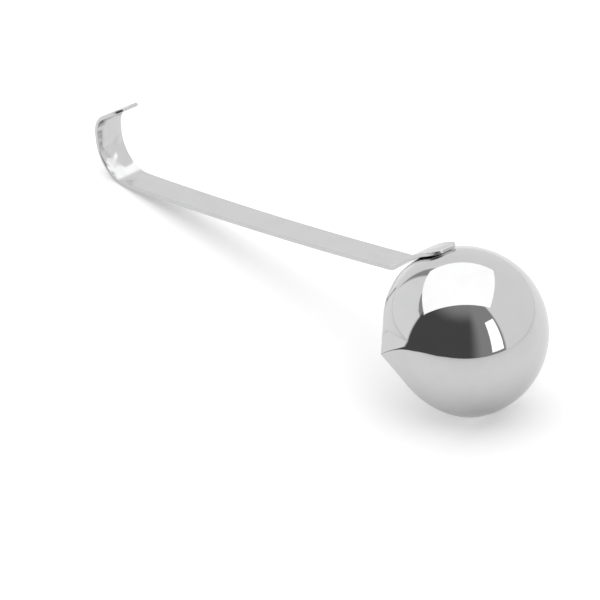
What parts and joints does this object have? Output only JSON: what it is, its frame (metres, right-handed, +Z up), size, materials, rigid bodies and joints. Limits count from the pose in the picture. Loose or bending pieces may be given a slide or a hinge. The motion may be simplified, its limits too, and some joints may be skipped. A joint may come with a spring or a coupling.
{
  "type": "pouring ladle",
  "caption": "Small ball-shaped pouring ladle with a pinched side lip and a flat hooked strap handle, lying on its rim.",
  "frame": {"origin": "middle of the bounding box at the level of the table that the ladle lies on", "axes": "+X from the hook towards the bowl, along the handle; +Y across, away from the pouring lip; +Z up from the table"},
  "size_m": [0.243, 0.0668, 0.0589],
  "materials": {
    "polished_steel": "mirror polished stainless sheet",
    "strap_steel": "bright polished stainless strip"
  },
  "bodies": {
    "root": {"bowl": "polished_steel", "handle": "strap_steel"}
  },
  "joints": []
}
